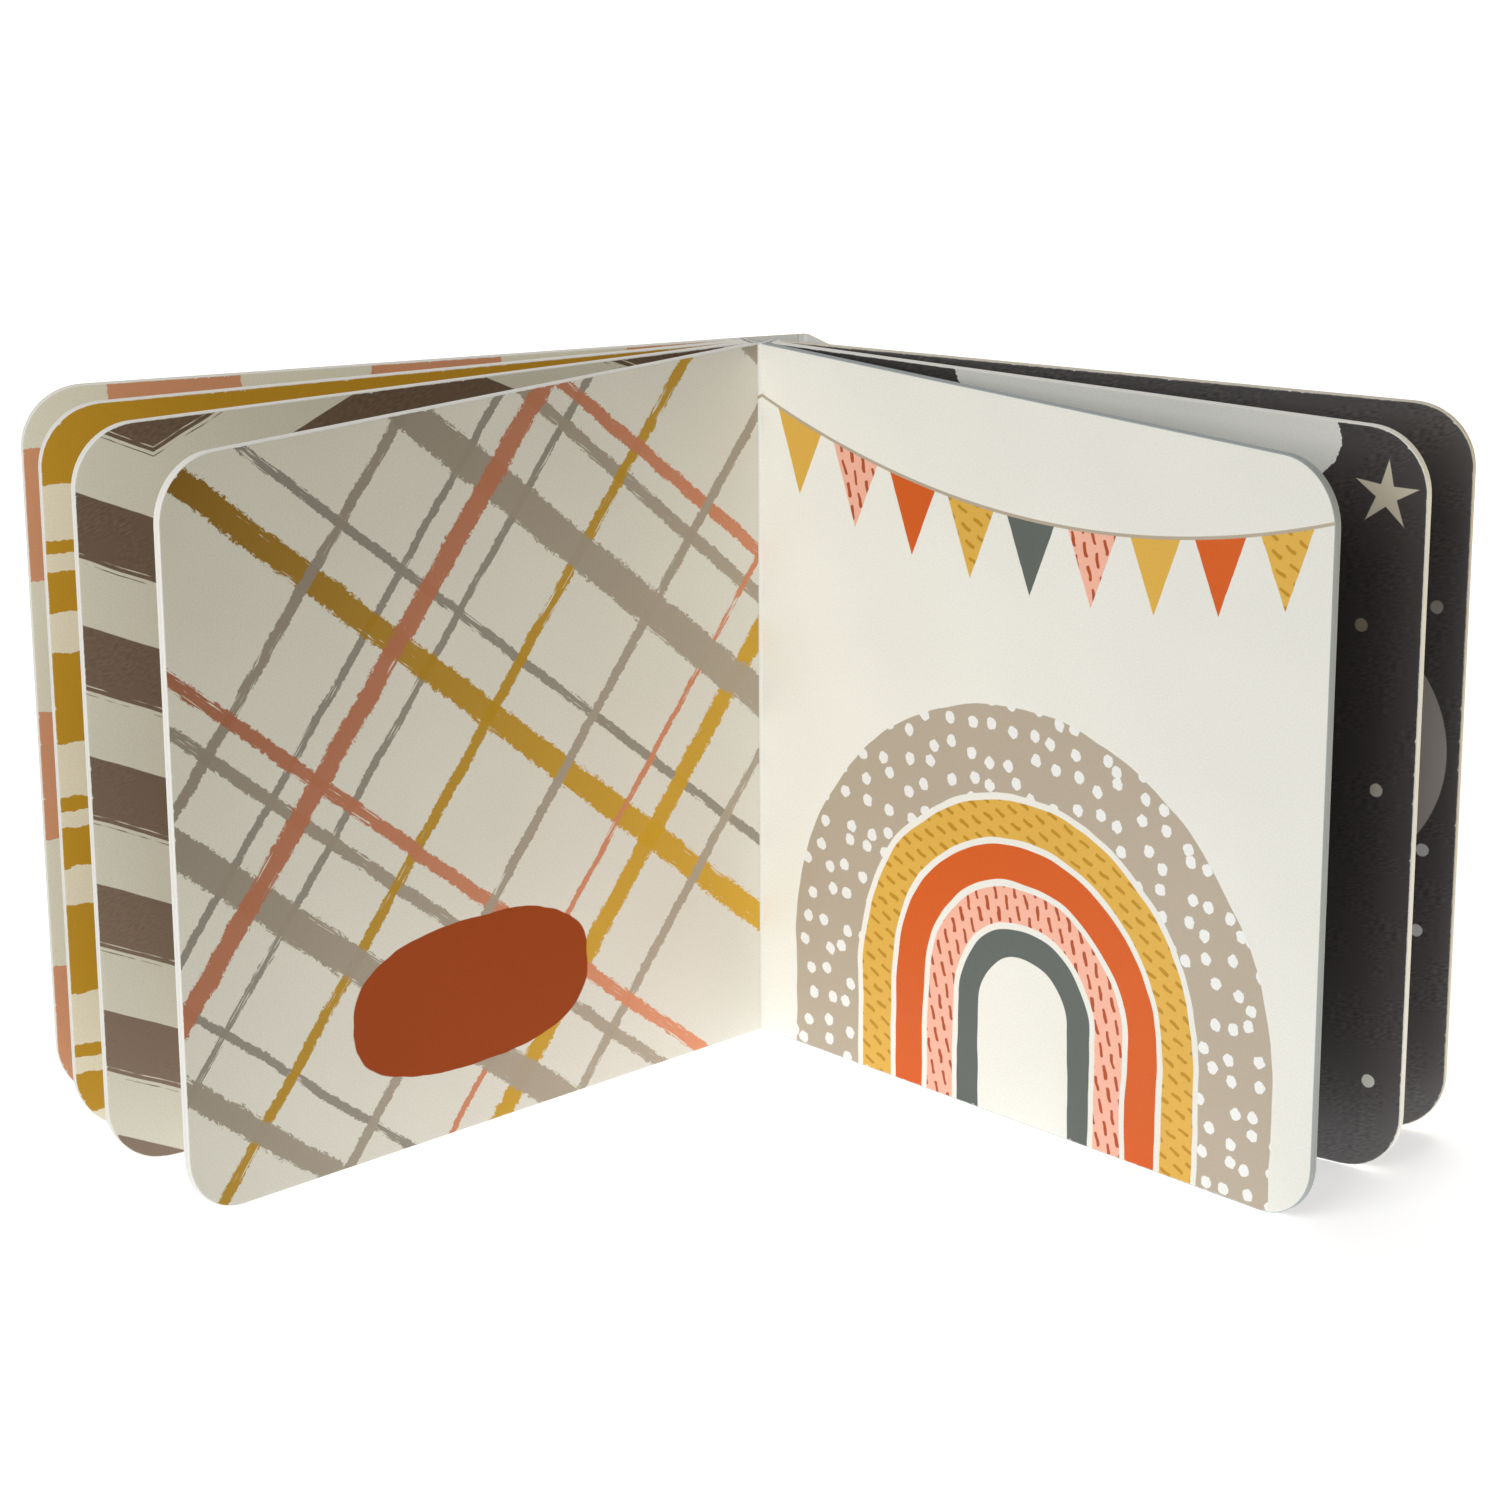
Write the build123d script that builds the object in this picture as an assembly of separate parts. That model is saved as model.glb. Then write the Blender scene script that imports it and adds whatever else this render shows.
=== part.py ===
from build123d import *
from math import acos, atan2, cos, degrees, radians, sin, sqrt
import os

# A square board book that stands open on its lower edge, with its leaves fanned.
# X runs to the reader's right, Y away from the reader, Z up, all in millimetres.
# The origin is at the foot of the main fold, in the middle of the sheet's thickness.

# The book as it was bound and trimmed
leaf_width = 150.0  # from a fold to the fore edge
leaf_height = 152.0
corner_radius = 12.5  # die-cut corners at the fore edge
sheet = 0.9  # one printed sheet, two of them glued back to back make a leaf
card = 0.5  # cover card, wrapped round the block

# The folds at the spine
main_fold_radius = 0.65  # inside radius of the fold that lies open
fold_back_radius = 1.0  # outside radius of a closed fold, which swells a little
card_slip = 0.2  # between a fold's back and the cover card that goes round it
hinge_gap = 0.3  # running clearance of a cover at its fold and creases

# The fan, as angles between the reader's direction and each leaf, from the main fold outwards
left_fan = (46.1, 57.9, 65.0, 71.0)  # three leaves and the front cover
right_fan = (46.1, 57.8, 66.4)  # two leaves and the back cover

# The cover card behind the spine
spine_panel = 14.0  # from the front crease to the back crease
hinge_panel = 11.5  # free strip from the back crease to the glue line
glue_line = 12.0  # the card is glued to the last page from here outwards
crease_radius = 0.9  # middle line of the card at the back crease
lift_radius = 2.5  # middle line of the card where it lifts off the last page
crease_return = 1.8  # stretch of the spine panel that belongs to the back crease
front_crease_wrap = 62.0  # degrees of card round the front fold's back
crease_ease = 1.0  # rounding of the front cover's outer edge where the card rolls into its crease

# Sizes that follow from those
leaf = 2 * sheet
board = sheet + card
fold_wrap_radius = fold_back_radius + card_slip + card / 2  # middle line of the card round a fold
cover_offset = fold_wrap_radius + card / 2 - board  # inner face of a cover behind its fold line
LEFT, RIGHT = -1, 1


def along(side, angle):
    """Direction of a leaf from its fold to its fore edge."""
    return Vector(side * sin(radians(angle)), -cos(radians(angle)))


def behind(side, angle):
    """Direction from a leaf's inner face to its back face."""
    return Vector(side * cos(radians(angle)), sin(radians(angle)))


def fold_lines(side, fan):
    """Fold points of one side, each a leaf's thickness behind the last, ending at the cover's fold."""
    point = main_fold_centre + main_fold_radius * behind(side, fan[0])
    points = [point]
    for angle in fan[:-1]:
        point = point + leaf * behind(side, angle)
        points.append(point)
    return points


def slab(side, fold, angle, offset, thickness, start=0.0):
    """A leaf or a layer of one, with its fore corners rounded, standing on the plane Z = 0."""
    outline = Pos((start + leaf_width) / 2, leaf_height / 2) * Rectangle(leaf_width - start, leaf_height)
    outline = fillet(outline.vertices().group_by(Axis.X)[-1], corner_radius)
    origin = fold + offset * behind(side, angle)
    face_plane = Plane(origin, x_dir=along(side, angle), z_dir=along(side, angle).cross(Vector(0, 0, 1)))
    return extrude(face_plane * outline, amount=-side * thickness)


def post(point, radius):
    """A full-height cylinder on a fold line."""
    return Pos(point.X, point.Y, leaf_height / 2) * Cylinder(radius, leaf_height)


def bent_card(path, thickness):
    """A card that stands on edge and follows a plan line with its middle."""
    return extrude(trace(path, line_width=thickness), amount=leaf_height)


def crossing(centre_a, radius_a, centre_b, radius_b):
    """The crossing of two circles that lies to the left of the way from a to b."""
    gap = centre_b - centre_a
    reach = (radius_a**2 - radius_b**2 + gap.length**2) / (2 * gap.length)
    height = sqrt(radius_a**2 - reach**2)
    way = gap.normalized()
    return centre_a + reach * way + height * Vector(-way.Y, way.X)


# Plan positions: the main fold, then the chain of folds on each side
main_fold_centre = Vector(0, -main_fold_radius - sheet / 2)
left_folds = fold_lines(LEFT, left_fan)
right_folds = fold_lines(RIGHT, right_fan)
front_pivot = left_folds[-1]
back_pivot = right_folds[-1]

# Plan positions of the cover card: where it leaves the last page, and its two creases
lift_point = (
    back_pivot
    + glue_line * along(RIGHT, right_fan[-1])
    + (cover_offset + sheet + card / 2) * behind(RIGHT, right_fan[-1])
)
back_crease = crossing(front_pivot, sqrt(spine_panel**2 + fold_wrap_radius**2), lift_point, hinge_panel)
to_back_crease = back_crease - front_pivot
front_crease_angle = atan2(to_back_crease.Y, to_back_crease.X) + acos(fold_wrap_radius / to_back_crease.length)
front_crease = front_pivot + fold_wrap_radius * Vector(cos(front_crease_angle), sin(front_crease_angle))
spine_way = (front_crease - back_crease).normalized()


def make_pages():
    """The block: glued leaves with the rounded backs of their folded sheets at the spine."""
    block = Part()
    for side, fan, folds in ((LEFT, left_fan, left_folds), (RIGHT, right_fan, right_folds)):
        for angle, fold in zip(fan[:-1], folds):
            block += slab(side, fold, angle, 0, leaf)
        for fold in folds[1:]:
            block += post(fold, fold_back_radius)
    turn = 180 - left_fan[0] - right_fan[0]
    bend = CenterArc(main_fold_centre, main_fold_radius + sheet / 2, right_fan[0], turn)
    return block + bent_card(bend, sheet)


def make_front_cover():
    """Cover card with the first page glued on, hollowed at its end to turn round its fold."""
    cover = slab(LEFT, front_pivot, left_fan[-1], cover_offset, board)
    cover -= post(front_pivot, fold_wrap_radius + card / 2 + hinge_gap)
    upright_edges = cover.edges().filter_by(Axis.Z)
    hollow_edges = upright_edges.sort_by_distance(front_pivot + Vector(0, 0, leaf_height / 2))[:2]
    outer_edge = max(hollow_edges, key=lambda edge: edge.center().dot(behind(LEFT, left_fan[-1])))
    return fillet(outer_edge, crease_ease)


def make_back_cover():
    """Last page, the cover card glued to it past the glue line, and the card's free strip and crease."""
    angle = right_fan[-1]
    page = slab(RIGHT, back_pivot, angle, cover_offset, sheet) - post(back_pivot, fold_back_radius + hinge_gap)
    panel_start = glue_line + lift_radius
    panel = slab(RIGHT, back_pivot, angle, cover_offset + sheet, card, panel_start)
    strip = FilletPolyline(
        lift_point + lift_radius * along(RIGHT, angle),
        lift_point,
        back_crease,
        back_crease + crease_return * spine_way,
        radius=[lift_radius, crease_radius],
    )
    return page + panel + bent_card(strip, card)


def make_spine():
    """The card's spine panel, curled round the front fold's back and short of the back crease."""
    curl = CenterArc(front_pivot, fold_wrap_radius, degrees(front_crease_angle), front_crease_wrap)
    panel = Line(front_crease, back_crease + (crease_return + hinge_gap) * spine_way)
    return bent_card(Curve() + [curl, panel], card)


os.makedirs("parts", exist_ok=True)
nodes = {
    "pages": make_pages(),
    "front_cover": make_front_cover(),
    "back_cover": make_back_cover(),
    "spine": make_spine(),
}
for name, solid in nodes.items():
    export_step(solid, f"parts/{name}.step")
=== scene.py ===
from math import acos, atan2, cos, radians, sin, sqrt

import bmesh
import bpy
import numpy as np
from mathutils import Matrix


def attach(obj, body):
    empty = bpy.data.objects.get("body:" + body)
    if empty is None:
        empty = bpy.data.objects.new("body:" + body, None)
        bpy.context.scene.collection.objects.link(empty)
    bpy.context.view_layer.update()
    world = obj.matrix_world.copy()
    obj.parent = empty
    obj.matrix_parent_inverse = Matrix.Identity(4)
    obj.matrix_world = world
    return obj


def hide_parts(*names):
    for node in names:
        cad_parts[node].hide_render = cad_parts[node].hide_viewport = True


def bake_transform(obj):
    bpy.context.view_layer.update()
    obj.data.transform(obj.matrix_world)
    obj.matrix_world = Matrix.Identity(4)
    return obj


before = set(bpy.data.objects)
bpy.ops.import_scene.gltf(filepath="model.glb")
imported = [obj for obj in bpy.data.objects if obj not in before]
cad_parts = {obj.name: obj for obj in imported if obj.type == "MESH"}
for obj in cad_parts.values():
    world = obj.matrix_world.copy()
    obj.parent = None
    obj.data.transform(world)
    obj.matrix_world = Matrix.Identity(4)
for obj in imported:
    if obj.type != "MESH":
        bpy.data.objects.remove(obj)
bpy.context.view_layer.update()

# A square board book that stands open on its lower edge, with its leaves fanned.
# Lengths are written in millimetres and go into the meshes in metres. Colours are linear.
MM = 0.001

# The book as it was bound and trimmed
leaf_width = 150.0  # from a fold to the fore edge
leaf_height = 152.0
corner_radius = 12.5
sheet = 0.9  # one printed sheet, two of them glued back to back make a leaf
card = 0.5  # cover card
main_fold_radius = 0.65
fold_back_radius = 1.0
card_slip = 0.2
left_fan = (46.1, 57.9, 65.0, 71.0)  # three leaves and the front cover
right_fan = (46.1, 57.8, 66.4)  # two leaves and the back cover
spine_panel = 14.0
hinge_panel = 11.5
glue_line = 12.0
crease_radius = 0.9
lift_radius = 2.5
crease_return = 1.8
leaf = 2 * sheet
fold_wrap_radius = fold_back_radius + card_slip + card / 2
cover_offset = fold_wrap_radius + card / 2 - sheet - card
page_back = cover_offset + sheet  # depth of a cover page's back face, where the card is glued
LEFT, RIGHT = -1, 1


def along(side, angle):
    """Way from a fold to the fore edge in plan: (side sin a, -cos a)."""
    return np.array([side * sin(radians(angle)), -cos(radians(angle))])


def behind(side, angle):
    """Way from a leaf's front face to its back in plan: (side cos a, sin a)."""
    return np.array([side * cos(radians(angle)), sin(radians(angle))])


def fold_lines(side, fan):
    """Fold points of one side: each is the last plus a leaf's thickness along that leaf's way behind."""
    steps = [main_fold_radius * behind(side, fan[0])]
    steps += [leaf * behind(side, angle) for angle in fan[:-1]]
    return main_fold + np.cumsum(steps, axis=0)


main_fold = np.array([0, -main_fold_radius - sheet / 2])
left_folds = fold_lines(LEFT, left_fan)
right_folds = fold_lines(RIGHT, right_fan)
front_pivot, back_pivot = left_folds[-1], right_folds[-1]


def crossing(centre_a, radius_a, centre_b, radius_b):
    """The crossing of two circles that lies to the left of the way from a to b: a reach along that way,
    and the height that the first circle leaves square to it."""
    gap = np.linalg.norm(centre_b - centre_a)
    reach = (radius_a**2 - radius_b**2 + gap**2) / (2 * gap)
    way = (centre_b - centre_a) / gap
    return centre_a + reach * way + sqrt(radius_a**2 - reach**2) * np.array([-way[1], way[0]])


back_angle = right_fan[-1]
lift_point = (
    back_pivot
    + glue_line * along(RIGHT, back_angle)
    + (page_back + card / 2) * behind(RIGHT, back_angle)
)
back_crease = crossing(front_pivot, sqrt(spine_panel**2 + fold_wrap_radius**2), lift_point, hinge_panel)
to_back_crease = back_crease - front_pivot
wrap_share = fold_wrap_radius / np.linalg.norm(to_back_crease)
crease_angle = atan2(to_back_crease[1], to_back_crease[0]) + acos(wrap_share)
front_crease = front_pivot + fold_wrap_radius * np.array([cos(crease_angle), sin(crease_angle)])
spine_way = (front_crease - back_crease) / np.linalg.norm(front_crease - back_crease)


# Shader building


class Tree:
    """Adds nodes to one node tree and joins their sockets."""

    def __init__(self, tree):
        self.tree = tree

    def join(self, value, socket):
        if isinstance(value, bpy.types.NodeSocket):
            self.tree.links.new(value, socket)
        else:
            socket.default_value = (*value, 1.0) if socket.type == "RGBA" else value

    def add(self, kind, values=(), **settings):
        node = self.tree.nodes.new(kind)
        for key, value in settings.items():
            setattr(node, key, value)
        pairs = values.items() if isinstance(values, dict) else enumerate(values)
        for key, value in pairs:
            self.join(value, node.inputs[key])
        return node

    def math(self, operation, *values, clamp=False):
        return self.add("ShaderNodeMath", values, operation=operation, use_clamp=clamp).outputs[0]

    def plus(self, a, b, clamp=False):
        return self.math("ADD", a, b, clamp=clamp)

    def minus(self, a, b):
        return self.math("SUBTRACT", a, b)

    def times(self, a, b, clamp=False):
        return self.math("MULTIPLY", a, b, clamp=clamp)

    def ramp(self, value, slope, start, clamp=False):
        """The value times slope plus start."""
        return self.math("MULTIPLY_ADD", value, slope, start, clamp=clamp)

    def vector(self, operation, *values):
        node = self.add("ShaderNodeVectorMath", values, operation=operation)
        return node.outputs[1 if operation in ("LENGTH", "DISTANCE") else 0]

    def scaled(self, vector, amount):
        """A vector times a number."""
        return self.add("ShaderNodeVectorMath", {0: vector, 3: amount}, operation="SCALE").outputs[0]

    def split(self, vector):
        return self.add("ShaderNodeSeparateXYZ", [vector]).outputs

    def join_up(self, x, y, z=0.0):
        return self.add("ShaderNodeCombineXYZ", [x, y, z]).outputs[0]

    def length(self, x, y):
        return self.vector("LENGTH", self.join_up(x, y))

    def mix(self, factor, a, b):
        return self.add("ShaderNodeMix", {0: factor, 6: a, 7: b}, data_type="RGBA").outputs[2]

    def noise(self, vector, scale, detail=2.0, roughness=0.5):
        """Noise from 0 to 1 on the plane of the vector's x and y."""
        values = {"Vector": vector, "Scale": scale, "Detail": detail, "Roughness": roughness}
        return self.add("ShaderNodeTexNoise", values, noise_dimensions="2D").outputs[0]

    def band(self, value, low, high, soft):
        """1 where low < value < high, with an edge as wide as soft."""
        rise = self.times(self.minus(value, low), 1 / soft, clamp=True)
        fall = self.times(self.minus(high, value), 1 / soft, clamp=True)
        return self.times(rise, fall)

    def inside(self, distance, soft):
        """1 where a signed distance is below zero, with an edge as wide as soft."""
        return self.ramp(distance, -1 / soft, 0.5, clamp=True)

    def wave(self, vector, scale, size):
        """Signed noise of about that size in millimetres."""
        return self.times(self.minus(self.noise(vector, scale), 0.5), 2 * size)

    def place(self, group, **values):
        """A node group with its inputs set by name, underscores standing for spaces."""
        node = self.tree.nodes.new("ShaderNodeGroup")
        node.node_tree = group
        for key, value in values.items():
            self.join(value, node.inputs[key.replace("_", " ").capitalize()])
        return node.outputs


VALUE, COLOUR, VECTOR = "NodeSocketFloat", "NodeSocketColor", "NodeSocketVector"
UNIT = 152.0  # millimetres in one unit of the page's UV map


def node_group(name, inputs, outputs):
    """An empty shader group; inputs maps a name to its default, outputs a name to its socket type."""
    kinds = {float: VALUE, tuple: VECTOR, list: COLOUR}
    group = bpy.data.node_groups.new(name, "ShaderNodeTree")
    for label, default in inputs.items():
        kind = kinds[type(default)]
        group.interface.new_socket(name=label, in_out="INPUT", socket_type=kind).default_value = default
    for label, kind in outputs.items():
        group.interface.new_socket(name=label, in_out="OUTPUT", socket_type=kind)
    tree = Tree(group)
    return group, tree, tree.add("NodeGroupInput").outputs, tree.add("NodeGroupOutput").inputs


def laminate_group():
    """Thin satin film on board: fine pores, and a gloss as uneven as they are."""
    inputs = {"Millimetres": (0.0, 0.0, 0.0), "Gloss": 0.5}
    group, tree, given, out = node_group("film_on_board", inputs, {"Roughness": VALUE, "Normal": VECTOR})
    pores = tree.noise(given["Millimetres"], 1.9, 2.0)
    smoothest = tree.minus(given["Gloss"], 0.06)
    tree.join(tree.ramp(pores, 0.12, smoothest), out["Roughness"])
    bump = tree.add("ShaderNodeBump", {"Strength": 0.6, "Distance": 0.008 * MM, "Height": pores})
    tree.join(bump.outputs[0], out["Normal"])
    return group


def ink_group():
    """Offset ink: a fine grain, a tone that drifts slowly over the page, and the printing screen, which
    shows in places on the dark inks as fine threads that rise slightly across the page."""
    inputs = {"Color": [0.8, 0.8, 0.8, 1.0], "Millimetres": (0.0, 0.0, 0.0), "Screen": 0.1}
    group, tree, given, out = node_group("offset_ink", inputs, {"Color": COLOUR})
    mm = given["Millimetres"]
    x, v, _ = tree.split(mm)
    grain = tree.minus(tree.noise(mm, 2.6, 1.0), 0.5)
    drift = tree.minus(tree.noise(mm, 0.04, 0.0), 0.5)
    tone = tree.ramp(grain, 0.16, tree.ramp(drift, 0.05, 1.0))
    level = tree.ramp(x, -0.3, v)
    drawn_out = tree.join_up(tree.times(x, 0.8), tree.times(level, 2.3))
    threads = tree.noise(drawn_out, 1.0, 0.0)
    shows = tree.ramp(tree.noise(mm, 0.11, 1.0), 5.0, -1.8, clamp=True)
    dark = tree.ramp(tree.vector("LENGTH", given["Color"]), -2.5, 1.2, clamp=True)
    amount = tree.times(given["Screen"], tree.times(shows, dark))
    screen = tree.times(tree.minus(threads, 0.5), amount)
    tree.join(tree.scaled(given["Color"], tree.ramp(screen, 2.0, tone)), out["Color"])
    return group


def nick_group():
    """Mask of the bare board along a die-cut edge, from the distance to a rounded rectangle's outline."""
    inputs = {"From fold": 0.0, "Up": 0.0, "Wear": 0.5}
    group, tree, given, out = node_group("cut_edge_nicks", inputs, {"Mask": VALUE})
    across = tree.minus(given["From fold"], leaf_width - corner_radius)
    height = tree.math("ABSOLUTE", tree.minus(given["Up"], leaf_height / 2))
    upward = tree.minus(height, leaf_height / 2 - corner_radius)
    outer = tree.length(tree.math("MAXIMUM", across, 0.0), tree.math("MAXIMUM", upward, 0.0))
    inner = tree.math("MINIMUM", tree.math("MAXIMUM", across, upward), 0.0)
    inwards = tree.minus(corner_radius, tree.plus(outer, inner))
    chips = tree.noise(tree.join_up(given["From fold"], given["Up"]), 0.4, 4.0, 0.75)
    deepest = tree.math("MAXIMUM", tree.minus(chips, 0.64), 0.0)
    nicks_in = tree.times(deepest, tree.times(given["Wear"], 7.0))
    fringe = tree.ramp(chips, 0.4, 0.05)
    bare_width = tree.plus(nicks_in, fringe)
    tree.join(tree.inside(tree.minus(inwards, bare_width), 0.12), out["Mask"])
    return group


def stroke_group():
    """One brush stroke: where the distance from its line is under half its width, ragged at the edge,
    with slits between the bristles where the brush ran dry."""
    inputs = {
        "Along": 0.0, "Across": 0.0, "Centre": 0.0, "Slope": 0.0, "Half width": 1.0,
        "Wobble": 0.0, "Bristle": 0.0, "Hairs": 0.0, "Dry": 0.0,
    }
    group, tree, given, out = node_group("brush_stroke", inputs, {"Mask": VALUE})
    line = tree.ramp(given["Along"], given["Slope"], given["Centre"])
    shifted = tree.plus(tree.minus(given["Across"], line), given["Wobble"])
    off = tree.minus(tree.math("ABSOLUTE", shifted), given["Half width"])
    raggedness = tree.ramp(given["Half width"], 0.32, 0.18, clamp=True)
    body = tree.inside(tree.ramp(given["Bristle"], raggedness, off), 0.08)
    rim = tree.ramp(off, 0.5, 1.0, clamp=True)
    limit = tree.ramp(tree.times(given["Dry"], rim), -0.29, 0.78)
    slits = tree.times(tree.minus(given["Hairs"], limit), 16.0, clamp=True)
    tree.join(tree.times(body, tree.minus(1.0, slits)), out["Mask"])
    return group


def dash_group():
    """Short slanted pen dashes in staggered rows: a repeated cell with a capsule drawn inside it."""
    inputs = {"Millimetres": (0.0, 0.0, 0.0), "Lean": 0.0, "Half length": 1.1}
    group, tree, given, out = node_group("pen_dashes", inputs, {"Mask": VALUE})
    column_width, row_height, pen_radius = 2.7, 4.7, 0.4
    page = {"Vector": given["Millimetres"], "Angle": given["Lean"]}
    turned = tree.add("ShaderNodeVectorRotate", page, rotation_type="Z_AXIS").outputs[0]
    jitter = tree.noise(turned, 0.35, 1.0)
    x, y, _ = tree.split(turned)
    column = tree.math("FLOOR", tree.math("DIVIDE", x, column_width))
    stagger = tree.ramp(column, row_height / 2, y)
    cell_x = tree.minus(tree.math("FLOORED_MODULO", x, column_width), column_width / 2)
    cell_y = tree.minus(tree.math("FLOORED_MODULO", stagger, row_height), row_height / 2)
    loose = tree.ramp(jitter, 0.9, tree.minus(cell_x, 0.45))
    past_half = tree.minus(tree.math("ABSOLUTE", cell_y), given["Half length"])
    past_end = tree.math("MAXIMUM", past_half, 0.0)
    capsule = tree.minus(tree.length(loose, past_end), pen_radius)
    tree.join(tree.inside(capsule, 0.12), out["Mask"])
    return group


def dot_group():
    """Cut-paper dots: the distance to the nearest of unevenly scattered points, with a ragged rim."""
    inputs = {"Millimetres": (0.0, 0.0, 0.0), "Radius": 1.3, "Spacing": 6.0}
    group, tree, given, out = node_group("strewn_dots", inputs, {"Mask": VALUE})
    mm = given["Millimetres"]
    scatter = {"Vector": mm, "Scale": tree.math("DIVIDE", 1.0, given["Spacing"]), "Randomness": 0.62}
    cells = tree.add("ShaderNodeTexVoronoi", scatter, voronoi_dimensions="2D")
    distance = tree.times(cells.outputs["Distance"], given["Spacing"])
    ragged = tree.plus(tree.minus(distance, given["Radius"]), tree.wave(mm, 0.9, 0.35))
    tree.join(tree.inside(ragged, 0.14), out["Mask"])
    return group


film, ink, nicks = laminate_group(), ink_group(), nick_group()
stroke, dashes, dots = stroke_group(), dash_group(), dot_group()
bare_board = (0.86, 0.84, 0.77)


def new_material(name):
    """A material with its tree and its main shader."""
    material = bpy.data.materials.new(name)
    material.use_nodes = True
    return material, Tree(material.node_tree), material.node_tree.nodes["Principled BSDF"]


def page_millimetres(tree):
    """The place on a page or a cut edge in millimetres, from its UV map."""
    return tree.scaled(tree.add("ShaderNodeUVMap", uv_map="page").outputs[0], UNIT)


def page_material(name, paint, side=RIGHT, gloss=0.5, shine=0.25, coat=0.15, screen=0.06, wear=0.5):
    """A laminated page. paint(tree, mm, x, v) gives its print's colour, with x to the right and v up."""
    material, tree, shader = new_material(name)
    mm = page_millimetres(tree)
    x, v, _ = tree.split(mm)
    from_fold = x if side == RIGHT else tree.minus(leaf_width, x)
    print_colour = tree.place(ink, color=paint(tree, mm, x, v), millimetres=mm, screen=screen)["Color"]
    bare = tree.place(nicks, from_fold=from_fold, up=v, wear=wear)["Mask"]
    surface = tree.place(film, millimetres=mm, gloss=gloss)
    tree.join(tree.mix(bare, print_colour, bare_board), shader.inputs["Base Color"])
    tree.join(surface["Roughness"], shader.inputs["Roughness"])
    tree.join(surface["Normal"], shader.inputs["Normal"])
    shader.inputs["Specular IOR Level"].default_value = shine
    shader.inputs["Coat Weight"].default_value = coat
    shader.inputs["Coat Roughness"].default_value = 0.32
    return material


def plain(colour):
    """A print of one colour."""
    return lambda tree, mm, x, v: colour


# Prints

rise_angle = radians(50.4)  # of the rising strokes over the page's foot
rise_x, rise_v = cos(rise_angle), sin(rise_angle)
falling_strokes = {  # by ink: the middle line from (x, v) to (x, v), and the width
    "grey": [(20.0, 150.9, 148.0, 45.2, 2.0), (0.0, 44.5, 54.0, 0.0, 1.8)],
    "taupe_thin": [(88.0, 151.6, 147.0, 100.5, 2.9), (0.0, 99.9, 120.0, 1.0, 2.7)],
    "mustard": [(5.0, 147.5, 148.0, 27.9, 5.4)],
    "taupe": [
        (65.0, 146.9, 140.0, 84.1, 7.3), (0.0, 77.0, 90.0, 2.8, 7.1),
        (0.0, 27.5, 35.0, -0.3, 5.0), (140.0, 160.5, 150.0, 152.2, 7.0),
    ],
    "coral": [(100.0, 149.8, 148.0, 109.6, 2.8), (0.0, 110.6, 130.0, 2.5, 2.9)],
}
rising_strokes = {
    "grey": [(0.0, 53.5, 80.0, 150.2, 1.9), (5.0, 30.8, 104.0, 151.3, 1.9)],
    "mustard": [(7.3, 1.5, 129.0, 150.3, 2.7), (105.0, 34.3, 135.0, 71.3, 4.7)],
    "coral_thin": [(64.5, 0.5, 149.0, 105.2, 1.5)],
    "taupe": [(5.0, 89.0, 55.0, 149.2, 2.7), (98.5, 0.0, 148.5, 61.2, 2.4)],
    "coral": [(0.0, 40.8, 90.0, 149.0, 4.8)],
    "taupe_top": [(40.0, 2.5, 148.0, 135.0, 2.5)],
}
plaid_shaded_and_lit_inks = {  # each tone at the page's top left, in painted shade, and at its bottom right, in painted light
    "cream": ((0.71, 0.67, 0.53), (0.935, 0.90, 0.80)),
    "grey": ((0.25, 0.225, 0.18), (0.42, 0.37, 0.29)),
    "taupe": ((0.25, 0.21, 0.155), (0.58, 0.49, 0.37)),
    "mustard": ((0.225, 0.105, 0.0005), (0.88, 0.51, 0.045)),
    "coral": ((0.28, 0.093, 0.042), (0.95, 0.38, 0.20)),
}
oval_rust = (0.375, 0.066, 0.011)
painting_order = (
    (falling_strokes, "grey"), (rising_strokes, "grey"), (falling_strokes, "taupe_thin"),
    (rising_strokes, "mustard"), (falling_strokes, "mustard"), (rising_strokes, "coral_thin"),
    (falling_strokes, "taupe"), (rising_strokes, "taupe"), (rising_strokes, "coral"),
    (falling_strokes, "coral"), (rising_strokes, "taupe_top"),
)


def brush_fields(tree, along_it, across_it):
    """Wobble, ragged edge, bristle hairs and dry places, all drawn out along the strokes."""
    def drawn_out(along_scale, across_scale):
        return tree.join_up(tree.times(along_it, along_scale), tree.times(across_it, across_scale))

    wobble = tree.wave(drawn_out(0.1, 0.04), 1.0, 0.5)
    ragged = tree.noise(drawn_out(0.6, 1.0), 1.0, 4.0, 0.85)
    bristle = tree.times(tree.minus(ragged, 0.5), 3.3)
    hairs = tree.noise(drawn_out(0.13, 3.0), 1.0, 2.0, 0.6)
    dry = tree.ramp(tree.noise(drawn_out(0.075, 0.09), 1.0, 1.0), 7.0, -3.5, clamp=True)
    return {"wobble": wobble, "bristle": bristle, "hairs": hairs, "dry": dry}


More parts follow.
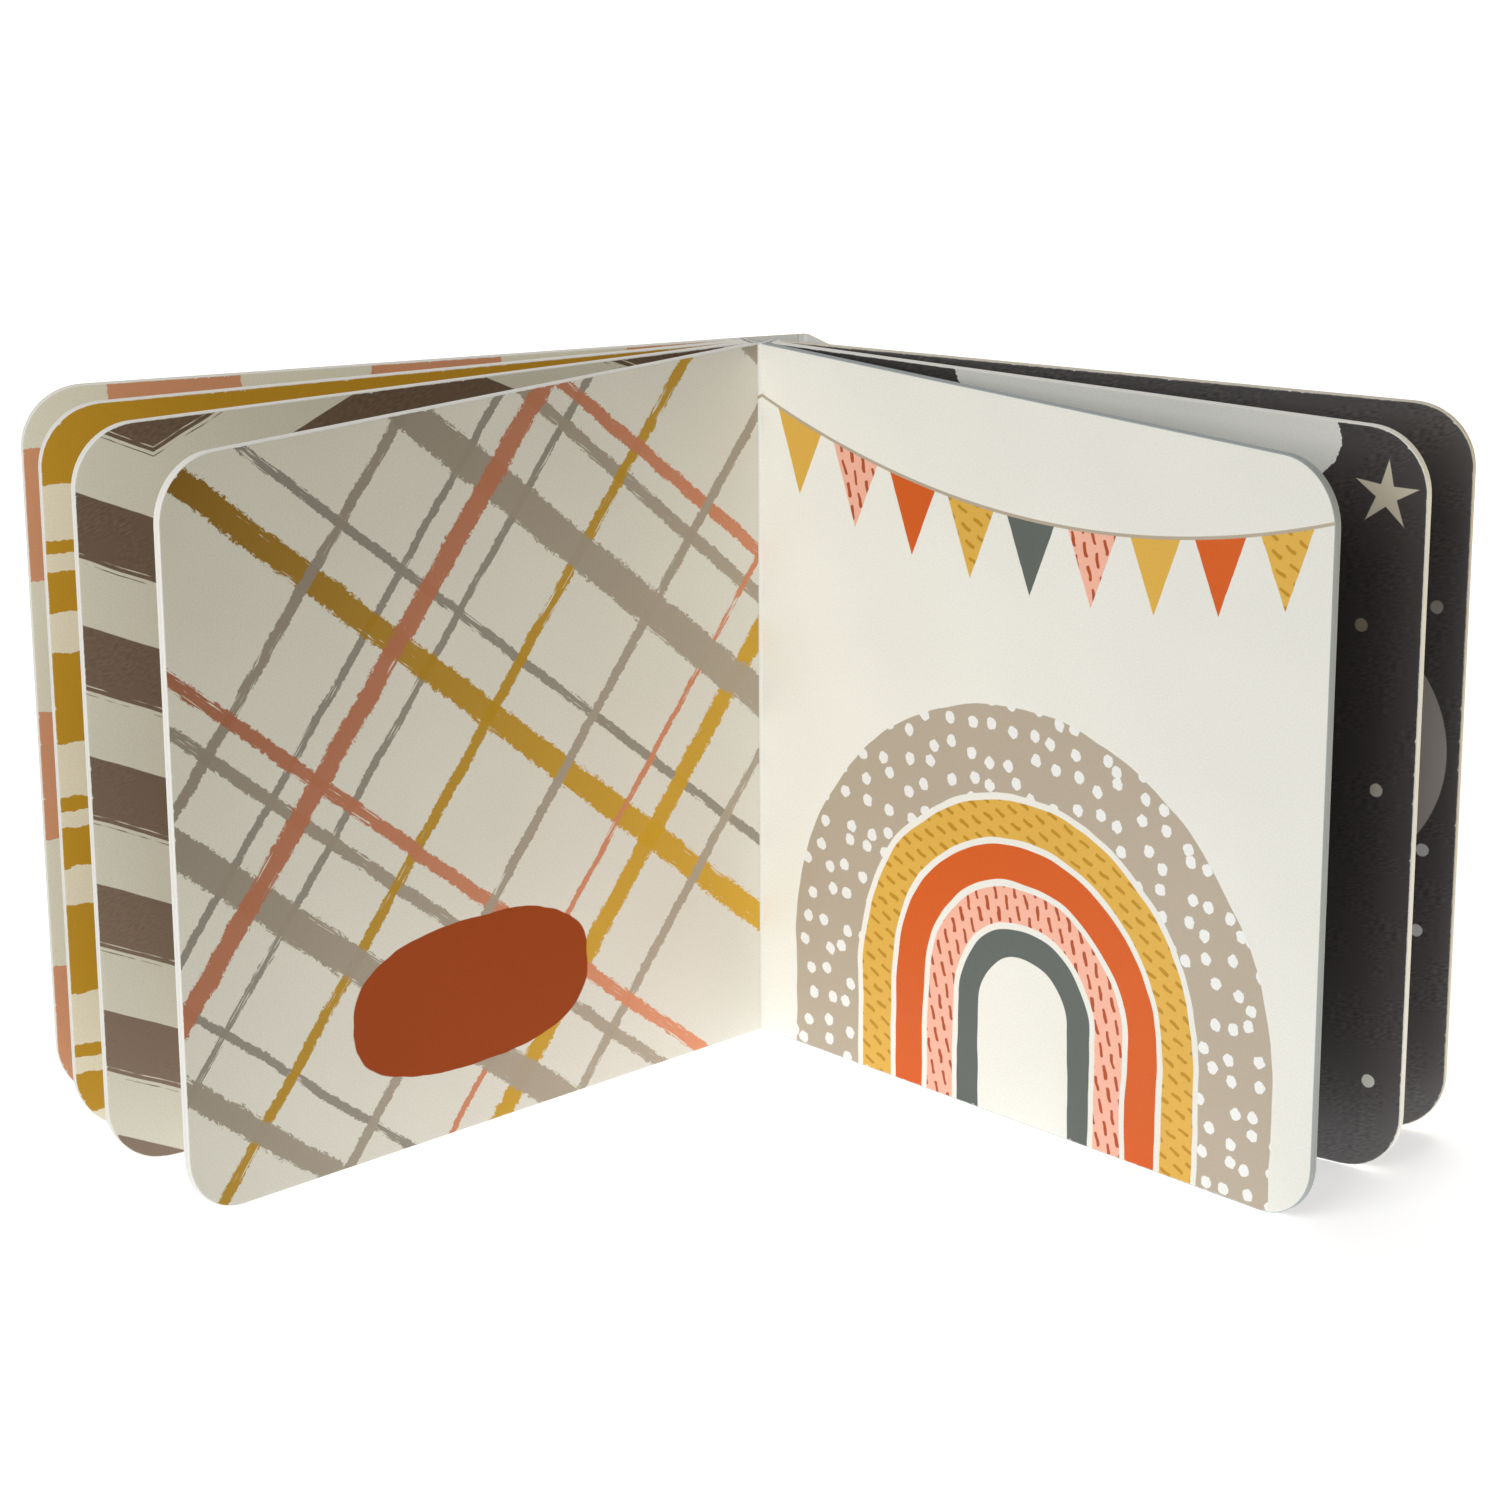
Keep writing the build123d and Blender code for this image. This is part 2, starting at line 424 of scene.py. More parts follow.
def plaid(tree, mm, x, v):
    """Crossed brush strokes on cream, the later inks over the earlier, and low on the page a rust oval,
    inside |x off its middle / half width|^2.5 + |v off its middle / half height|^2.5 = 1."""
    along_rise = tree.plus(tree.times(x, rise_x), tree.times(v, rise_v))
    along_fall = tree.minus(tree.times(v, rise_x), tree.times(x, rise_v))
    ways = {  # by whether the strokes rise
        True: (along_rise, along_fall, brush_fields(tree, along_rise, along_fall)),
        False: (along_fall, along_rise, brush_fields(tree, along_fall, along_rise)),
    }
    # Painted light: every plaid ink is lighter towards the fold and the foot, and darker at the top left
    across_page = tree.times(x, 0.6 / leaf_width)
    down_page = tree.ramp(v, -0.4 / leaf_height, 0.4)
    painted_lightness = tree.plus(across_page, down_page, clamp=True)
    inks = {name: tree.mix(painted_lightness, dark, light) for name, (dark, light) in plaid_shaded_and_lit_inks.items()}
    colour = inks["cream"]
    for strokes, name in painting_order:
        rising = strokes is rising_strokes
        along_it, across_it, fields = ways[rising]
        for x1, v1, x2, v2, width in strokes[name]:
            p1, p2 = x1 * rise_x + v1 * rise_v, x2 * rise_x + v2 * rise_v
            q1, q2 = v1 * rise_x - x1 * rise_v, v2 * rise_x - x2 * rise_v
            if not rising:
                p1, p2, q1, q2 = q1, q2, p1, p2
            slope = (q2 - q1) / (p2 - p1)
            mask = tree.place(
                stroke, along=along_it, across=across_it, centre=q1 - slope * p1, slope=slope,
                half_width=width / 2, **fields,
            )["Mask"]
            colour = tree.mix(tree.times(mask, 0.97), colour, inks[name.split("_")[0]])

    def swollen(value, middle, half):
        off = tree.math("DIVIDE", tree.minus(value, middle), half)
        return tree.math("POWER", tree.math("ABSOLUTE", off), 2.5)

    reach = tree.plus(swollen(x, 71.0, 30.5), swollen(v, 29.5, 15.8))
    oval = tree.minus(reach, tree.plus(1.0, tree.wave(mm, 0.09, 0.09)))
    return tree.mix(tree.inside(oval, 0.02), colour, oval_rust)


paper_white = (0.885, 0.872, 0.79)
print_taupe = (0.485, 0.41, 0.31)
print_mustard = (0.75, 0.44, 0.07)
print_rust = (0.68, 0.11, 0.008)
print_slate = (0.115, 0.133, 0.12)
print_pink = (0.92, 0.48, 0.35)


def dashed(tree, mm, ground, dash, lean, half_length):
    """A ground colour with pen dashes."""
    mask = tree.place(dashes, millimetres=mm, lean=lean, half_length=half_length)["Mask"]
    return tree.mix(mask, ground, dash)


def rainbow_and_bunting(tree, mm, x, v):
    """Arches of colour on the lower edge, and small flags on a string that sags as a parabola."""
    middle, springing = 75.0, 24.0  # of the arches, whose legs run straight below the springing
    string_low, string_rise, string_half = 128.0, 13.0, 72.0
    first_flag, flag_pitch, flag_half, flag_drop = 3.0, 16.0, 6.3, 15.5
    white_dots = tree.place(dots, millimetres=mm, radius=1.3, spacing=5.8)["Mask"]
    dotted = tree.mix(white_dots, print_taupe, (0.87, 0.87, 0.83))
    mustard_dashed = dashed(tree, mm, print_mustard, (0.52, 0.26, 0.012), -1.15, 1.0)
    pink_dashed = dashed(tree, mm, print_pink, (0.44, 0.075, 0.018), -0.25, 1.2)
    side_way = tree.minus(x, middle)
    rise = tree.math("MAXIMUM", tree.minus(v, springing), 0.0)
    radius = tree.plus(tree.length(side_way, rise), tree.wave(mm, 0.05, 0.9))
    # Painted light: the paper white is a little lighter by the fold and darker towards the fore edge
    colour = tree.scaled(paper_white, tree.ramp(x, -0.12 / leaf_width, 1.035))
    arches = (
        (46.5, 65.0, dotted), (37.0, 45.2, mustard_dashed), (28.0, 35.7, print_rust),
        (19.3, 26.7, pink_dashed), (12.2, 18.0, print_slate),
    )
    for low, high, tint in arches:
        colour = tree.mix(tree.band(radius, low, high, 0.12), colour, tint)
    hang = tree.math("POWER", tree.math("ABSOLUTE", tree.math("DIVIDE", side_way, middle)), 2.0)
    string = tree.ramp(hang, string_rise, string_low)
    drop = tree.minus(string, v)
    flag_place = tree.math("DIVIDE", tree.minus(x, first_flag), flag_pitch)
    number = tree.math("FLOOR", flag_place)
    in_place = tree.minus(tree.math("FRACT", flag_place), 0.5)
    off_middle = tree.math("ABSOLUTE", tree.times(in_place, flag_pitch))
    taper = tree.ramp(drop, -flag_half / flag_drop, flag_half)
    past_side = tree.minus(off_middle, taper)
    past_end = tree.minus(tree.math("ABSOLUTE", side_way), string_half)
    outside = tree.math("MAXIMUM", past_side, tree.times(drop, -1.0))
    outside = tree.math("MAXIMUM", outside, past_end)
    flag = tree.inside(tree.plus(outside, tree.wave(mm, 0.3, 0.12)), 0.12)
    tints = (
        print_mustard, pink_dashed, print_rust, mustard_dashed, print_slate,
        pink_dashed, print_mustard, print_rust, mustard_dashed,
    )
    flags = tints[0]
    for place, tint in enumerate(tints[1:], 1):
        flags = tree.mix(tree.math("GREATER_THAN", number, place - 0.5), flags, tint)
    colour = tree.mix(flag, colour, flags)
    return tree.mix(tree.band(drop, -0.45, 0.35, 0.12), colour, print_taupe)


def chevrons(tree, mm, x, v):
    """Wide zigzag bands: how far v lies below a folded line, in repeats, with hairlines at lower edges."""
    turn_x, turn_v, half_period, slope, repeat = 16.5, 132.4, 57.0, 0.46, 26.4
    zigzag = tree.math("PINGPONG", tree.minus(x, turn_x), half_period)
    level = tree.ramp(zigzag, slope, turn_v)
    under = tree.plus(tree.minus(level, v), tree.wave(mm, 0.1, 0.25))
    below = tree.math("FLOORED_MODULO", under, repeat)
    hairs = tree.ramp(tree.noise(mm, 0.25, 1.0), 4.0, -1.6, clamp=True)
    cream = (0.85, 0.805, 0.66)
    # Painted light and shade: the taupe is lighter at the foot of the page and darker towards its top
    painted_shade_up_page = tree.math("DIVIDE", v, leaf_height)
    taupe = tree.mix(painted_shade_up_page, (0.30, 0.212, 0.152), (0.18, 0.118, 0.076))
    colour = tree.mix(tree.band(below, 0.0, repeat / 2, 0.15), cream, taupe)
    for low, high, tint in ((12.0, 12.35, cream), (13.75, 14.1, taupe)):
        hairline = tree.times(tree.band(below, low, high, 0.12), hairs)
        colour = tree.mix(hairline, colour, tint)
    return colour


def bands(tree, mm, x, v):
    """Level bands with torn edges: broad, thin and middling, in repeats from the top down."""
    top, repeat = 155.5, 53.0
    cream, mustard = (0.95, 0.88, 0.68), (0.61, 0.33, 0.02)
    torn = tree.plus(tree.wave(mm, 0.22, 0.8), tree.wave(mm, 1.2, 0.25))
    under = tree.minus(top, tree.plus(v, torn))
    below = tree.math("FLOORED_MODULO", under, repeat)
    colour = cream
    for low, high in ((0.0, 19.0), (30.0, 33.0), (36.3, 45.0)):
        colour = tree.mix(tree.band(below, low, high, 0.15), colour, mustard)
    return colour


def checks(tree, mm, x, v):
    """Alternate squares with rough edges, by whether column and row numbers add up to an odd number."""
    left, width, foot, height = 17.5, 26.8, 3.0, 27.4
    cream, coral = (0.84, 0.81, 0.65), (0.72, 0.34, 0.18)
    across = tree.plus(x, tree.plus(tree.wave(mm, 0.12, 1.2), tree.wave(mm, 0.9, 0.3)))
    up = tree.plus(v, tree.plus(tree.wave(mm, 0.14, 1.2), tree.wave(mm, 1.0, 0.3)))
    column = tree.math("FLOOR", tree.math("DIVIDE", tree.minus(across, left), width))
    row = tree.math("FLOOR", tree.math("DIVIDE", tree.minus(up, foot), height))
    odd = tree.math("FLOORED_MODULO", tree.plus(column, row), 2.0)
    return tree.mix(odd, cream, coral)


def charcoal(tree, v, colour):
    """Charcoal ink with painted light: lighter towards the foot of the page, as if lit from the floor
    below.
    """
    lighter_below, painted_foot_light = 70.0, 0.9
    foot = tree.ramp(v, -1 / lighter_below, 1.0, clamp=True)
    return tree.scaled(colour, tree.ramp(foot, painted_foot_light, 1.0))


def spots(tree, mm, v, colour, places, low, high):
    """Small round spots at places (x, v, radius). Their tint carries painted shade: it turns from low,
    lit, at the page's foot to high, shaded, at the set height and above, as the height squared."""
    shaded_from = 112.0
    height = tree.math("DIVIDE", v, shaded_from, clamp=True)
    tint = tree.mix(tree.times(height, height), low, high)
    for cx, cv, radius in places:
        away = tree.vector("DISTANCE", mm, (cx, cv, 0.0))
        ragged = tree.plus(tree.minus(away, radius), tree.wave(mm, 0.7, 0.12))
        colour = tree.mix(tree.inside(ragged, 0.15), colour, tint)
    return colour


def star(tree, mm, cx, cv, outer, inner, lean):
    """A five-pointed star: the angle is folded into a tenth of a turn, where the edge is one straight
    line from a tip to the notch beside it."""
    tenth = radians(36)
    x, v, _ = tree.split(tree.vector("SUBTRACT", mm, (cx, cv, 0.0)))
    radius = tree.length(x, v)
    angle = tree.minus(tree.math("ARCTAN2", v, x), radians(lean))
    folded = tree.math("PINGPONG", angle, tenth)
    run = tree.times(radius, tree.math("COSINE", folded))
    rise = tree.times(radius, tree.math("SINE", folded))
    edge_run, edge_rise = inner * cos(tenth) - outer, inner * sin(tenth)
    length = sqrt(edge_run * edge_run + edge_rise * edge_rise)
    by_run = tree.times(run, edge_rise / length)
    by_rise = tree.times(rise, -edge_run / length)
    edge = tree.plus(by_run, by_rise)
    return tree.inside(tree.minus(edge, outer * edge_rise / length), 0.15)


def night_cloud(tree, mm, x, v):
    """Charcoal with a pale cloud of overlapping rounds along the top, a star and a few spots."""
    colour = charcoal(tree, v, (0.042, 0.0355, 0.034))
    puffs = (
        (52.0, 152.0, 6.5), (64.0, 149.0, 8.0), (80.0, 150.0, 10.0),
        (97.0, 149.0, 11.0), (113.0, 150.0, 10.5), (124.0, 148.0, 7.5),
    )
    nearest = None
    for cx, cv, radius in puffs:
        off = tree.minus(tree.vector("DISTANCE", mm, (cx, cv, 0.0)), radius)
        nearest = off if nearest is None else tree.math("MINIMUM", nearest, off)
    ragged = tree.plus(nearest, tree.plus(tree.wave(mm, 0.5, 0.5), tree.wave(mm, 2.0, 0.25)))
    colour = tree.mix(tree.inside(ragged, 0.15), colour, (0.94, 0.94, 0.87))
    colour = tree.mix(star(tree, mm, 141.4, 138.9, 7.0, 2.3, 87.5), colour, (0.74, 0.66, 0.50))
    places = (
        (137.2, 112.5, 1.35), (141.8, 79.7, 1.35), (142.7, 19.0, 1.4),
        (128.0, 52.0, 1.3), (118.0, 96.0, 1.2),
    )
    # The spots' lit tint at the foot, then their painted shade higher up
    return spots(tree, mm, v, colour, places, (0.95, 0.92, 0.80), (0.40, 0.33, 0.22))


def night_moon(tree, mm, x, v):
    """A lighter charcoal with one large soft grey disc and a few spots."""
    disc = tree.minus(tree.vector("DISTANCE", mm, (118.4, 80.5, 0.0)), 28.8)
    ground = charcoal(tree, v, (0.058, 0.050, 0.047))
    colour = tree.mix(tree.inside(disc, 0.2), ground, (0.56, 0.505, 0.45))
    places = (
        (143.8, 111.2, 1.35), (143.1, 60.6, 1.35), (142.6, 43.4, 1.3),
        (131.0, 22.0, 1.3), (120.0, 130.0, 1.3),
    )
    # The spots' lit tint at the foot, then their painted shade higher up
    return spots(tree, mm, v, colour, places, (0.96, 0.96, 0.92), (0.47, 0.42, 0.35))


def fibre_material(name, colour, contrast, glue=True):
    """Cut board: pressed fibres drawn out along the edge, with the glue line where two sheets meet."""
    material, tree, shader = new_material(name)
    mm = page_millimetres(tree)
    run, depth, _ = tree.split(mm)
    drawn_out = tree.join_up(tree.times(run, 0.9), tree.times(depth, 6.0))
    fibres = tree.noise(drawn_out, 1.0, 3.0, 0.6)
    specks = tree.noise(mm, 3.5, 2.0)
    speckled = tree.ramp(specks, 0.12, 0.94 - contrast / 2)
    tint = tree.scaled(colour, tree.ramp(fibres, contrast, speckled))
    if glue:
        half_seam = 0.06
        wandering = tree.plus(depth, tree.wave(mm, 0.2, 0.05))
        seam = tree.band(wandering, sheet - half_seam, sheet + half_seam, 0.05)
        tint = tree.mix(tree.times(seam, 0.45), tint, (0.42, 0.38, 0.31))
    tree.join(tint, shader.inputs["Base Color"])
    shader.inputs["Roughness"].default_value = 0.85
    bump = tree.add("ShaderNodeBump", {"Strength": 0.5, "Distance": 0.05 * MM, "Height": fibres})
    tree.join(bump.outputs[0], shader.inputs["Normal"])
    return material


plaid_page = page_material("plaid_page", plaid, LEFT, shine=0.06, coat=0.02)
rainbow_page = page_material("rainbow_page", rainbow_and_bunting, RIGHT)
chevron_page = page_material("chevron_page", chevrons, LEFT, screen=0.4)
banded_page = page_material("banded_page", bands, LEFT)
checked_page = page_material("checked_page", checks, LEFT)
night_finish = {"shine": 0.8, "coat": 1.0, "screen": 0.9, "wear": 0.35}
cloud_page = page_material("cloud_page", night_cloud, RIGHT, **night_finish)
moon_page = page_material("moon_page", night_moon, RIGHT, **night_finish)
cream_page = page_material("cream_page", plain((0.82, 0.785, 0.66)), LEFT)
plain_charcoal = plain((0.05, 0.043, 0.041))
charcoal_page = page_material("charcoal_page", plain_charcoal, RIGHT, shine=0.5, coat=0.3)
cover_laminate = page_material("cover_laminate", plain((0.84, 0.82, 0.74)), RIGHT, gloss=0.42)
board_edge = fibre_material("board_edge", (0.95, 0.93, 0.86), 0.12)
# Painted shade: the board edge darkened and greyed, for the right leaf's fore edge, which stands in shade
shaded_board_edge = fibre_material("shaded_board_edge", (0.42, 0.455, 0.455), 0.12)
cover_edge = fibre_material("cover_edge", (0.80, 0.73, 0.60), 0.2, glue=False)
raw_board = fibre_material("raw_board", (0.86, 0.85, 0.80), 0.1, glue=False)


# Meshes


def grid_faces(table):
    """Quads between neighbours of a two-way table of vertex numbers."""
    corners = (table[:-1, :-1], table[1:, :-1], table[1:, 1:], table[:-1, 1:])
    return np.stack(corners, -1).reshape(-1, 4)


def make_piece(name, points, patches, materials, node):
    """A closed mesh from points in millimetres and patches: faces, UV of every point, material number."""
    mesh = bpy.data.meshes.new(name)
    faces = [face for patch in patches for face in patch[0].tolist()]
    mesh.from_pydata((points * MM).tolist(), [], faces)
    spread = np.concatenate([uv[patch_faces.ravel()] for patch_faces, uv, _ in patches]) / UNIT
    mesh.uv_layers.new(name="page").data.foreach_set("uv", spread.ravel())
    numbers = np.concatenate([np.full(len(patch_faces), slot) for patch_faces, _, slot in patches])
    mesh.polygons.foreach_set("material_index", numbers.astype(np.int32))
    mesh.polygons.foreach_set("use_smooth", np.ones(len(faces), bool))
    for material in materials:
        mesh.materials.append(material)
    shell = bmesh.new()
    shell.from_mesh(mesh)
    bmesh.ops.recalc_face_normals(shell, faces=shell.faces)
    shell.to_mesh(mesh)
    shell.free()
    piece = bpy.data.objects.new(name, mesh)
    bpy.context.scene.collection.objects.link(piece)
    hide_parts(node)
    return piece


def outline(start, inset, columns=14, rows=16):
    """Round a board's free edges: along the foot, a quarter circle, up the fore edge, a quarter circle,
    back along the top, all moved inwards by inset, so the circles have radius corner_radius - inset. A
    close first step keeps the shade of the flat faces free of the end's."""
    turn = np.radians(np.linspace(0, 90, 15))
    reach = leaf_width - corner_radius
    run = np.r_[start, np.linspace(start + 0.2, reach, columns, endpoint=False)]
    u = np.r_[run, reach + (corner_radius - inset) * np.sin(turn)]
    z = np.r_[np.full(len(run), inset), corner_radius - (corner_radius - inset) * np.cos(turn)]
    rise = np.linspace(corner_radius, leaf_height - corner_radius, rows + 1)[1:-1]
    return np.r_[u, np.full(rows - 1, u[-1]), u[::-1]], np.r_[z, rise, leaf_height - z[::-1]], len(u), rows


def rim_profile(front, back, edge, glued):
    """(inset, depth) across a cut edge: a quarter round at each face, a groove where two sheets meet."""
    groove_half, groove_depth = 0.1, 0.05
    turn = np.radians(np.linspace(0, 90, 5))
    inset, depth = edge * (1 - np.sin(turn)), edge * (1 - np.cos(turn))
    middle = (front + back) / 2
    groove = [(0.0, middle - groove_half), (groove_depth, middle), (0.0, middle + groove_half)]
    groove = groove if glued else []
    near = [(edge + 0.5, front), *zip(inset, front + depth)]
    far = [(i, back - d) for i, d in zip(inset[::-1], depth[::-1])] + [(edge + 0.5, back)]
    return np.array(near + groove + far)


def board_piece(name, side, angle, fold, front, back, materials, node, start=0.0, edge=0.2, glued=False):
    """A leaf or one layer of a cover. Its faces are ruled between the foot's line and the top's, and a
    rim profile is carried round the outline between them. materials: front print, back print, cut edge."""
    profile = rim_profile(front, back, edge, glued)
    _, _, wide, rows = outline(start, 0.0)
    paths = np.array([outline(start, inset)[:2] for inset in profile[:, 0]])
    count = paths.shape[2]
    share = np.linspace(0, 1, rows + 1)
    foot_u, foot_z = paths[0, 0, :wide], paths[0, 1, :wide]
    face_u = np.repeat(foot_u[:, None], rows + 1, 1)
    face_z = foot_z[:, None] + (leaf_height - 2 * foot_z)[:, None] * share
    size = face_u.size
    front_table = np.arange(size).reshape(wide, rows + 1)
    back_table = front_table + size
    middle = np.arange((len(profile) - 2) * count).reshape(-1, count) + 2 * size

    def border(table):
        return np.r_[table[:, 0], table[-1, 1:-1], table[::-1, -1]]

    rim = np.vstack([border(front_table), middle, border(back_table)])
    u = np.r_[face_u.ravel(), face_u.ravel(), paths[1:-1, 0].ravel()]
    z = np.r_[face_z.ravel(), face_z.ravel(), paths[1:-1, 1].ravel()]
    depth = np.r_[np.full(size, front), np.full(size, back), np.repeat(profile[1:-1, 1], count)]
    plan = fold + np.outer(u, along(side, angle)) + np.outer(depth, behind(side, angle))
    points = np.column_stack([plan, z])
    page_uv = np.column_stack([u if side == RIGHT else leaf_width - u, z])
    steps = np.hypot(*np.diff(outline(start, 0.0)[:2], axis=1))
    run = np.tile(np.r_[0, np.cumsum(steps)], (len(profile), 1))
    edge_uv = np.zeros((len(points), 2))
    edge_uv[rim] = np.stack([run, np.repeat(profile[:, 1:] - front, count, 1)], -1)
    cap = np.r_[front_table[0], rim[1:-1, -1], back_table[0, ::-1], rim[-2:0:-1, 0]]
    patches = [
        (grid_faces(front_table), page_uv, 0),
        (grid_faces(back_table), page_uv, 1),
        (grid_faces(rim[:2]), page_uv, 0),
        (grid_faces(rim[1:-1]), edge_uv, 2),
        (grid_faces(rim[-2:]), page_uv, 1),
        (cap[None, :], page_uv, 2),
    ]
    return make_piece(name, points, patches, materials, node)


def strip_piece(name, path, thickness, materials, node, x_start=0.0, x_way=1, edge=0.12):
    """A strip on edge: a tall rounded section carried along a plan line. The first material faces left of
    the way along the line, the second right, the third covers the upper and lower edges."""
    ahead = np.gradient(path, axis=0)
    ahead /= np.linalg.norm(ahead, axis=1)[:, None]
    left = np.column_stack([-ahead[:, 1], ahead[:, 0]])
    steps = 3  # in each rounded corner
    turn = np.radians(np.linspace(0, 90, steps + 1))
    corner_o, corner_z = thickness / 2 - edge * (1 - np.sin(turn)), edge * (1 - np.cos(turn))
    flat_z = np.r_[edge + 0.4, np.linspace(edge + 8, leaf_height - edge - 8, 12), leaf_height - edge - 0.4]
    side_z = np.r_[corner_z, flat_z, leaf_height - corner_z[::-1]]
    side_o = np.r_[corner_o, np.full(len(flat_z), thickness / 2), corner_o[::-1]]
    offset, z = np.r_[side_o, -side_o[::-1]], np.r_[side_z, side_z[::-1]]
    count, half = len(offset), len(side_o)
    plan = path[:, None, :] + offset[None, :, None] * left[:, None, :]
    points = np.concatenate([plan, np.broadcast_to(z, plan.shape[:2])[..., None]], -1).reshape(-1, 3)
    table = np.arange(len(points)).reshape(len(path), count)
    table = np.hstack([table, table[:, :1]])
    run = np.r_[0, np.cumsum(np.hypot(*np.diff(path, axis=0).T))]
    page_uv = np.stack(np.broadcast_arrays(x_start + x_way * run[:, None], z), -1).reshape(-1, 2)
    edge_uv = np.stack(np.broadcast_arrays(run[:, None], offset + thickness / 2), -1).reshape(-1, 2)
    patches = [
        (grid_faces(table[:, steps : half - steps]), page_uv, 0),
        (grid_faces(table[:, half + steps : count - steps]), page_uv, 1),
        (grid_faces(table[:, : steps + 1]), edge_uv, 2),
        (grid_faces(table[:, half - steps - 1 : half + steps + 1]), edge_uv, 2),
        (grid_faces(table[:, count - steps - 1 :]), edge_uv, 2),
        (table[:1, :-1], edge_uv, 2),
        (table[-1:, -2::-1], edge_uv, 2),
    ]
    return make_piece(name, points, patches, materials, node)


def arc(centre, radius, start, end, count):
    """Points on a circle: centre + radius (cos t, sin t), angles in degrees."""
    turn = np.radians(np.linspace(start, end, count))
    return centre + radius * np.column_stack([np.cos(turn), np.sin(turn)])


def rounded_path(corners, radii, step=0.5):
    """A plan line through corners, each inner one rounded by an arc that touches both runs."""
    line = [corners[:1]]
    for before, corner, after, radius in zip(corners[:-2], corners[1:-1], corners[2:], radii):
        back, on = before - corner, after - corner
        back, on = back / np.linalg.norm(back), on / np.linalg.norm(on)
        half = acos(back @ on) / 2
        centre = corner + (back + on) / np.linalg.norm(back + on) * radius / sin(half)
        first, last = corner + back * radius / np.tan(half), corner + on * radius / np.tan(half)
        a, b = (atan2(*(point - centre)[::-1]) for point in (first, last))
        b = a + (b - a + np.pi) % (2 * np.pi) - np.pi
        line.append(arc(centre, radius, np.degrees(a), np.degrees(b), 9))
    line.append(corners[-1:])
    knots = np.vstack(line)
    gaps = np.hypot(*np.diff(knots, axis=0).T)
    counts = np.maximum(2, (gaps / step).astype(int) + 1)
    fine = [np.linspace(p, q, count)[:-1] for p, q, count in zip(knots, knots[1:], counts)]
    return np.vstack(fine + [knots[-1:]])


def fold_backs_piece(name, centres, radius, node):
    """The rounded backs of the folded sheets: a column on each fold line, very slightly swollen."""
    rounding, swelling = 0.18, 0.03
    turn = np.radians(np.arange(0, 360, 15.0))
    quarter = np.radians(np.linspace(0, 90, 4))
    inset, lift = rounding * (1 - np.sin(quarter)), rounding * (1 - np.cos(quarter))
    levels = np.linspace(4, leaf_height - 4, 24)
    swell = swelling * np.sin(levels * 0.21) * np.sin(levels * 0.083 + 1.0)
    height = np.r_[lift, levels, leaf_height - lift[::-1]]
    reach = np.r_[radius - inset, radius + swell - swelling, radius - inset[::-1]]
    across, ahead = reach[:, None] * np.cos(turn), reach[:, None] * np.sin(turn)
    ring = np.stack(np.broadcast_arrays(across, ahead, height[:, None]), -1)
    uv = np.stack(np.broadcast_arrays(height[:, None], radius * turn), -1).reshape(-1, 2)
    rows, columns = ring.shape[:2]
    points, patches = [], []
    whole_uv = np.tile(uv, (len(centres), 1))
    for place, centre in enumerate(centres):
        points.append((ring + np.r_[centre, 0]).reshape(-1, 3))
        table = np.arange(rows * columns).reshape(rows, columns) + place * rows * columns
        patches.append((grid_faces(np.hstack([table, table[:, :1]])), whole_uv, 0))
        patches.append((table[:1], whole_uv, 0))
        patches.append((table[-1:, ::-1], whole_uv, 0))
    return make_piece(name, np.vstack(points), patches, [raw_board], node)


# The block of leaves

leaves = (  # name, side, angle and fold, then front print, back print and cut edge
    ("leaf_left_1", LEFT, left_fan[0], left_folds[0], plaid_page, cream_page, board_edge),
    ("leaf_left_2", LEFT, left_fan[1], left_folds[1], chevron_page, cream_page, board_edge),
    ("leaf_left_3", LEFT, left_fan[2], left_folds[2], banded_page, cream_page, board_edge),
    ("leaf_right_1", RIGHT, right_fan[0], right_folds[0], rainbow_page, charcoal_page, shaded_board_edge),
    ("leaf_right_2", RIGHT, right_fan[1], right_folds[1], cloud_page, charcoal_page, board_edge),
)
block_pieces = [
    board_piece(name, side, angle, fold, 0, leaf, materials, "pages", glued=True)
    for name, side, angle, fold, *materials in leaves
]
closed_folds = np.vstack([left_folds[1:], right_folds[1:]])
open_fold_line = arc(main_fold, main_fold_radius + sheet / 2, right_fan[0], 180 - left_fan[0], 17)
block_pieces += [
    fold_backs_piece("fold_backs", closed_folds, fold_back_radius, "pages"),
    strip_piece("open_fold", open_fold_line, sheet, [rainbow_page, raw_board, board_edge], "pages"),
]
for piece in block_pieces:
    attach(piece, "block")

# The front cover: the first page with the cover card glued to its back

front_angle = left_fan[-1]
front_fold = (LEFT, front_angle, front_pivot)
first_page_faces = [checked_page, raw_board, board_edge]
card_faces = [raw_board, cover_laminate, cover_edge]  # inside, outside and cut edge
card_back = page_back + card  # depth of a cover's outside
page_hinge, card_hinge = 2.0, 2.3  # how far the page's and the card's hinge strips reach from the fold line
card_tail = 1.5  # how far the card's bend runs on into the spine panel


def cover_point(side, angle, pivot, u, depth):
    """Plan points at distances u from a cover's fold line and a depth behind its inner face."""
    return pivot + np.outer(u, along(side, angle)) + depth * behind(side, angle)


front_page = board_piece(
    "front_cover_page", *front_fold, cover_offset, page_back, first_page_faces, "front_cover", page_hinge
)
front_card = board_piece(
    "front_cover_card", *front_fold, page_back, card_back, card_faces, "front_cover", card_hinge, 0.15
)
for piece, slot in ((front_page, "page_board"), (front_card, "cover_board")):
    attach(piece, "front_cover")

